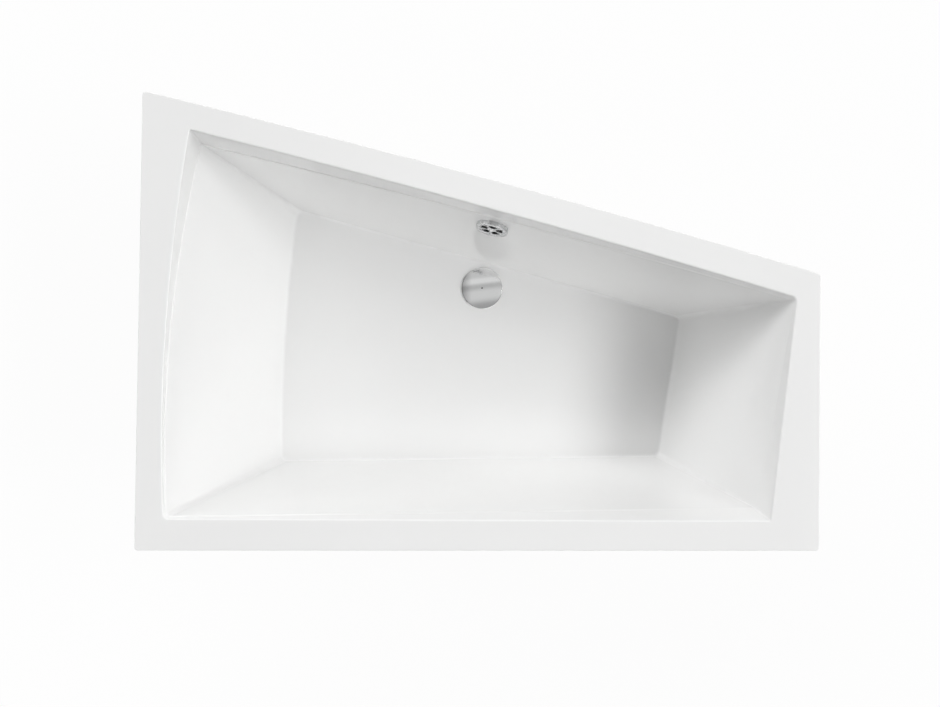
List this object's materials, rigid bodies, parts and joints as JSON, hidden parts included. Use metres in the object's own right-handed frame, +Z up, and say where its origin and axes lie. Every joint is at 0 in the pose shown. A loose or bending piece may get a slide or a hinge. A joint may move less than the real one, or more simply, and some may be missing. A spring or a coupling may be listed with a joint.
{
  "type": "asymmetric bathtub",
  "caption": "Built-in bathtub with a slanted side, twisted sloping walls, screw feet, a trap waste and an overflow knob that lifts the plug by cable.",
  "frame": {"origin": "on the ground under the middle of the rim's bounding box", "axes": "+Z up, +X along the long straight side towards the narrow end, +Y from the long straight side to the slanted side"},
  "size_m": [1.6, 1.0481, 0.6],
  "materials": {
    "acrylic": "glossy white sanitary acrylic",
    "laminate": "glass fibre and resin, rough and off-white",
    "chipboard": "raw chipboard",
    "batten_wood": "raw wood strip",
    "galvanised": "galvanised sheet steel",
    "fastener": "zinc-plated steel",
    "stainless": "stainless steel",
    "chrome": "polished chrome",
    "brass": "turned brass",
    "pipe_plastic": "white polypropylene",
    "inner_plastic": "light grey plastic",
    "nut_plastic": "black plastic",
    "seal_rubber": "black rubber",
    "cable_skin": "dark grey cable sheath"
  },
  "bodies": {
    "tub": {"tub_shell": "acrylic", "laminate_backing": "laminate", "base_board": "chipboard", "leg_rail_left": "galvanised", "leg_rail_right": "galvanised", "rail_screws": "fastener", "rail_weld_nuts": "fastener", "foot_lock_nuts": "fastener", "drain_flange": "stainless", "drain_body": "pipe_plastic", "trap_cup": "pipe_plastic", "drain_flange_seal": "seal_rubber", "drain_gasket": "seal_rubber", "trap_cup_seal": "seal_rubber", "dip_tube": "inner_plastic", "crank_bush": "seal_rubber", "cable_sheath": "cable_skin", "overflow_pipe": "pipe_plastic", "pipe_seal_top": "seal_rubber", "pipe_seal_low": "seal_rubber", "pipe_nut_top": "nut_plastic", "pipe_nut_low": "nut_plastic", "outlet_seal": "seal_rubber", "outlet_nut": "nut_plastic", "overflow_housing": "pipe_plastic", "overflow_gasket": "seal_rubber", "overflow_bezel": "nut_plastic", "overflow_screws": "fastener", "rim_batten_front": "batten_wood", "rim_batten_right": "batten_wood", "rim_batten_back": "batten_wood", "rim_batten_left": "batten_wood"},
    "knob": {"overflow_knob": "chrome", "knob_screw": "chrome", "spindle": "brass"},
    "plug": {"drain_cover": "chrome", "plug_stem": "inner_plastic", "plug_seal": "seal_rubber"},
    "crank": {"lift_crank": "brass", "cable_lever": "brass"},
    "cable_wire": {"cable_end": "fastener"},
    "outlet": {"outlet_bend": "pipe_plastic"},
    "foot_front_left": {"foot_stud_front_left": "fastener", "foot_pad_front_left": "nut_plastic"},
    "foot_back_left": {"foot_stud_back_left": "fastener", "foot_pad_back_left": "nut_plastic"},
    "foot_front_right": {"foot_stud_front_right": "fastener", "foot_pad_front_right": "nut_plastic"},
    "foot_back_right": {"foot_stud_back_right": "fastener", "foot_pad_back_right": "nut_plastic"}
  },
  "joints": [
    {"name": "knob_turn", "type": "hinge", "parent": "tub", "child": "knob", "pos_m": [0.0215, 0.24933, 0.47597], "axis": [-0.2475, -0.9526, 0.1771], "range_deg": [0, 90]},
    {"name": "plug_lift", "type": "slide", "parent": "tub", "child": "plug", "axis": [0, 0, 1], "range_m": [0, 0.012]},
    {"name": "crank_turn", "type": "hinge", "parent": "tub", "child": "crank", "pos_m": [0.02326, 0.09321, 0.13987], "axis": [0.9992, -0.04, 0], "range_deg": [0, 26.68]},
    {"name": "cable_pull", "type": "slide", "parent": "tub", "child": "cable_wire", "axis": [0.04, 0.9992, 0], "range_m": [0, 0.01015]},
    {"name": "outlet_turn", "type": "hinge", "parent": "tub", "child": "outlet", "pos_m": [0.02102, 0.03726, 0.094], "axis": [-0.04, -0.9992, 0], "range_deg": [-15, 195]},
    {"name": "foot_screw_front_left", "type": "slide", "parent": "tub", "child": "foot_front_left", "axis": [0, 0, 1], "range_m": [-0.014, 0.012]},
    {"name": "foot_screw_back_left", "type": "slide", "parent": "tub", "child": "foot_back_left", "axis": [0, 0, 1], "range_m": [-0.014, 0.012]},
    {"name": "foot_screw_front_right", "type": "slide", "parent": "tub", "child": "foot_front_right", "axis": [0, 0, 1], "range_m": [-0.014, 0.012]},
    {"name": "foot_screw_back_right", "type": "slide", "parent": "tub", "child": "foot_back_right", "axis": [0, 0, 1], "range_m": [-0.014, 0.012]}
  ],
  "couplings": [
    {"joint": "plug_lift", "follows": "knob_turn", "m_per_rad": 0.007639},
    {"joint": "crank_turn", "follows": "knob_turn", "ratio": 0.29649},
    {"joint": "cable_pull", "follows": "knob_turn", "m_per_rad": 0.006464}
  ]
}
